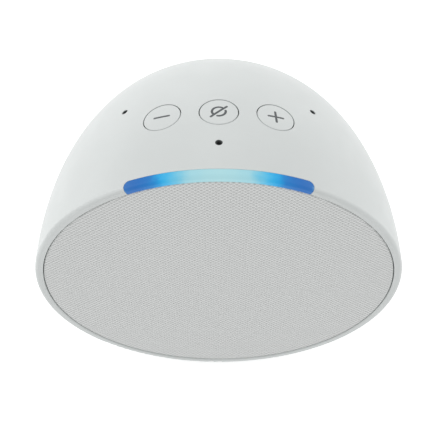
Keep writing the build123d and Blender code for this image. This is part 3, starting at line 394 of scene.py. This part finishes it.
# --- Grille cloth -----------------------------------------------------------------------------
WEAVE_STEPS = 4                 # mesh steps to each repeat of the weave
WEAVE_RELIEF = 0.06 * MM
EDGE_ROUND = 0.4 * MM           # where the cloth turns over the edge of its panel
EDGE_STEPS = 5                  # mesh steps round that turn
EDGE_RELIEF = 0.25              # share of the weave's relief that is left at the edge
CLOTH_CROWN = 0.1 * MM          # how far the cloth stands out in the middle
SKIRT_LENGTH = CLOTH_BACK - CLOTH_FRONT - EDGE_ROUND
FLAT_RADIUS = CLOTH_RADIUS - EDGE_ROUND


def weave_height(x, y):
    """Height of the cloth's threads over its mean surface, at a place on the front."""
    across = math.cos(2 * math.pi * x / WEAVE_ACROSS)
    along = math.cos(2 * math.pi * y / WEAVE_ALONG)
    return WEAVE_RELIEF * across * along


def flat_grid():
    """The flat of the cloth as a fine grid, drawn out to a true circle at its rim."""
    step_x = WEAVE_ACROSS / WEAVE_STEPS
    step_y = WEAVE_ALONG / WEAVE_STEPS
    half_x = int(FLAT_RADIUS / step_x) + 1
    half_y = int(FLAT_RADIUS / step_y) + 1
    bm = bmesh.new()
    grid = {}

    def corner(i, j):
        if (i, j) not in grid:
            grid[i, j] = bm.verts.new((i * step_x, j * step_y, 0.0))
        return grid[i, j]

    for i in range(-half_x, half_x):
        for j in range(-half_y, half_y):
            if math.hypot((i + 0.5) * step_x, (j + 0.5) * step_y) < FLAT_RADIUS - step_x / 2:
                bm.faces.new((corner(i, j), corner(i + 1, j), corner(i + 1, j + 1), corner(i, j + 1)))
    for vertex in bm.verts:
        if vertex.is_boundary:
            vertex.co *= FLAT_RADIUS / vertex.co.length
    return bm


def turn_edge(bm):
    """Turns the rim of the flat over the panel's edge, and ends it in a straight skirt."""
    loop = [edge for edge in bm.edges if edge.is_boundary]
    for step in range(1, EDGE_STEPS + 2):
        made = bmesh.ops.extrude_edge_only(bm, edges=loop)["geom"]
        turn = math.radians(90) * min(step / EDGE_STEPS, 1.0)
        radius = FLAT_RADIUS + EDGE_ROUND * math.sin(turn)
        drop = EDGE_ROUND * (1 - math.cos(turn))
        if step > EDGE_STEPS:
            drop += SKIRT_LENGTH
        for vertex in (item for item in made if isinstance(item, bmesh.types.BMVert)):
            outward = Vector((vertex.co.x, vertex.co.y, 0.0)).normalized() * radius
            vertex.co = Vector((outward.x, outward.y, -drop))
        loop = [edge for edge in bm.edges if edge.is_boundary and edge in made]


def lay_on_front(bm):
    """Moves the cloth to the speaker's front, with its slight crown and the relief of its weave."""
    for vertex in bm.verts:
        x, y, z = vertex.co
        radius = math.hypot(x, y)
        fade = min(max((CLOTH_RADIUS - radius) / (2 * EDGE_ROUND), EDGE_RELIEF), 1.0)
        crown = CLOTH_CROWN * (1 - min(radius / FLAT_RADIUS, 1.0) ** 4)
        lift = crown + weave_height(x, y) * fade if z > -EDGE_ROUND / 2 else 0.0
        vertex.co = face_point(x, y, CLOTH_FRONT - z - lift)


def make_cloth():
    bm = flat_grid()
    turn_edge(bm)
    lay_on_front(bm)
    cloth = mesh_piece("grille_cloth", bm, finishes["grille_cloth"], "housing")
    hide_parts("grille_fabric")


make_cloth()

# --- Printed signs on the keys ----------------------------------------------------------------
SIGN_WIDTH = 0.6 * MM
SIGN_PROUD = 0.012 * MM         # ink above the key's skin
SIGN_THICKNESS = 0.02 * MM
SIGN_ARM = 1.9 * MM             # half the length of a minus or a plus bar
RING_RADIUS = 1.7 * MM
RING_ARCS = ((60, 210), (-102, 12))     # degrees: the ring is open where the slash crosses it
SLASH_REACH = 1.95 * MM
CAP_STEPS = 4                   # mesh steps of a stroke's round end
CAP_BLUNT = 0.4                 # leaves the end's last row a little width
STROKE_ROWS = (-1, -0.5, 0, 0.5, 1)     # places across a stroke, as shares of half its width
sign_ink = moulded("sign_ink", srgb(84, 88, 90), 0.5, 0.2 * MM, 0.003 * MM, 0.04)


def straight(start, end, steps=10):
    """Points along a straight line."""
    return [Vector(start).lerp(Vector(end), i / steps) for i in range(steps + 1)]


def arc(radius, first, last, steps=18):
    """Points along an arc about the key's middle, between two angles in degrees."""
    angles = [math.radians(first + (last - first) * i / steps) for i in range(steps + 1)]
    return [Vector((radius * math.cos(angle), radius * math.sin(angle))) for angle in angles]


def add_stroke(bm, path, place):
    """A stroke of constant width with round ends, laid on the dome's skin."""
    half = SIGN_WIDTH / 2
    stations = []
    for end, inner in ((path[0], path[1]), (path[-1], path[-2])):
        away = (end - inner).normalized()
        cap = []
        for i in range(CAP_STEPS, 0, -1):
            turn = math.radians(90 * i / (CAP_STEPS + CAP_BLUNT))
            cap.append((end + away * half * math.sin(turn), half * math.cos(turn)))
        stations.append(cap)
    line = stations[0] + [(point, half) for point in path] + stations[1][::-1]
    rows = []
    for i, (point, reach) in enumerate(line):
        before = line[max(i - 1, 0)][0]
        after = line[min(i + 1, len(line) - 1)][0]
        along = (after - before).normalized()
        side = Vector((-along.y, along.x)) * reach
        rows.append([bm.verts.new(place(point + side * share)) for share in STROKE_ROWS])
    for row, following in zip(rows, rows[1:]):
        for i in range(len(row) - 1):
            bm.faces.new((row[i], row[i + 1], following[i + 1], following[i]))


def make_sign(name, strokes):
    """A key's printed sign, laid on the dome and moving with the key."""
    origin, across, back, normal = key_frame(KEY_ANGLES[name])

    def place(point):
        return drop_to_dome(origin + across * point.x + back * point.y, normal, SIGN_PROUD)

    bm = bmesh.new()
    for path in strokes:
        add_stroke(bm, path, place)
    sign = mesh_piece(f"sign_{name}", bm, sign_ink, f"{name}_key")
    thicken = sign.modifiers.new("thickness", "SOLIDIFY")
    thicken.thickness = SIGN_THICKNESS
    thicken.offset = -1


level_bar = straight((-SIGN_ARM, 0), (SIGN_ARM, 0))
upright_bar = straight((0, -SIGN_ARM), (0, SIGN_ARM))
slash = straight((-SLASH_REACH, -SLASH_REACH), (SLASH_REACH, SLASH_REACH))
make_sign("minus", [level_bar])
make_sign("plus", [level_bar, upright_bar])
make_sign("mute", [slash] + [arc(RING_RADIUS, first, last) for first, last in RING_ARCS])

# --- Camera -----------------------------------------------------------------------------------
VIEW_ANGLE = math.radians(56.3)         # between the line of sight and the front's normal
CAMERA_DISTANCE = 280 * MM
CAMERA_RISE = 18.26 * MM
CAMERA_SIDE = -0.57 * MM
CLIP_START = 10 * MM
CLIP_END = 20.0
SENSOR = 36.0                           # millimetres, as Blender's camera has it
LENS = 85.53

towards = FRONT * math.cos(VIEW_ANGLE) + UP * math.sin(VIEW_ANGLE)
camera_up = UP * math.cos(VIEW_ANGLE) - FRONT * math.sin(VIEW_ANGLE)
camera = bpy.data.objects.new("camera", bpy.data.cameras.new("camera"))
bpy.context.scene.collection.objects.link(camera)
camera.data.sensor_width = SENSOR
camera.data.lens = LENS
camera.data.clip_start = CLIP_START
camera.data.clip_end = CLIP_END
turn = Matrix((RIGHT, camera_up, towards)).transposed().to_4x4()
camera.matrix_world = Matrix.Translation(
    FACE_CENTRE + towards * CAMERA_DISTANCE + camera_up * CAMERA_RISE + RIGHT * CAMERA_SIDE
) @ turn
bpy.context.scene.camera = camera

# --- Floor and light --------------------------------------------------------------------------
FLOOR_HALF = 1.5
FLOOR_GAP = 0.05 * MM           # under the foot, so that the two faces don't share a plane
FLOOR_TONE = (0.95, 0.95, 0.95, 1)
FLOOR_GLOW = 0.36               # lifts the floor to a clean near white
ROOM_LIGHT = 0.66
LIGHT_SIZE = 0.9
LIGHT_AIM = Vector((0, 0, 0.05))
LIGHTS = {                      # place in metres, and power in watts
    "key_light": ((-0.8, 0.25, 0.5), 2.55),
    "fill_light": ((0.8, 0.25, 0.5), 1.7),
    "back_light": ((0.0, 0.9, 0.6), 1.1),
}


def make_floor():
    """A plain pale floor under the speaker."""
    bm = bmesh.new()
    bmesh.ops.create_grid(bm, x_segments=8, y_segments=8, size=FLOOR_HALF)
    mesh = bpy.data.meshes.new("floor")
    bm.to_mesh(mesh)
    bm.free()
    floor = bpy.data.objects.new("floor", mesh)
    bpy.context.scene.collection.objects.link(floor)
    floor.location.z = -FLOOR_GAP
    nodes = Nodes("floor_paper")
    nodes.shader.inputs["Base Color"].default_value = FLOOR_TONE
    nodes.shader.inputs["Emission Color"].default_value = (1, 1, 1, 1)
    nodes.shader.inputs["Emission Strength"].default_value = FLOOR_GLOW
    nodes.link(nodes.spread(nodes.noise(0.05), 0.85, 0.95), nodes.shader.inputs["Roughness"])
    mesh.materials.append(nodes.material)


def area_light(name, place, power):
    """A large soft lamp, turned towards the speaker."""
    lamp = bpy.data.lights.new(name, "AREA")
    lamp.shape = "DISK"
    lamp.size = LIGHT_SIZE
    lamp.energy = power
    light = bpy.data.objects.new(name, lamp)
    bpy.context.scene.collection.objects.link(light)
    light.location = place
    light.rotation_mode = "QUATERNION"
    light.rotation_quaternion = (LIGHT_AIM - Vector(place)).to_track_quat("-Z", "Y")


def light_room():
    """An even white surround."""
    world = bpy.data.worlds.new("studio")
    bpy.context.scene.world = world
    world.use_nodes = True
    background = world.node_tree.nodes["Background"]
    background.inputs["Color"].default_value = (1.0, 1.0, 1.0, 1)
    background.inputs["Strength"].default_value = ROOM_LIGHT


make_floor()
light_room()
for name, (place, power) in LIGHTS.items():
    area_light(name, place, power)
bpy.context.scene.view_settings.view_transform = "Standard"
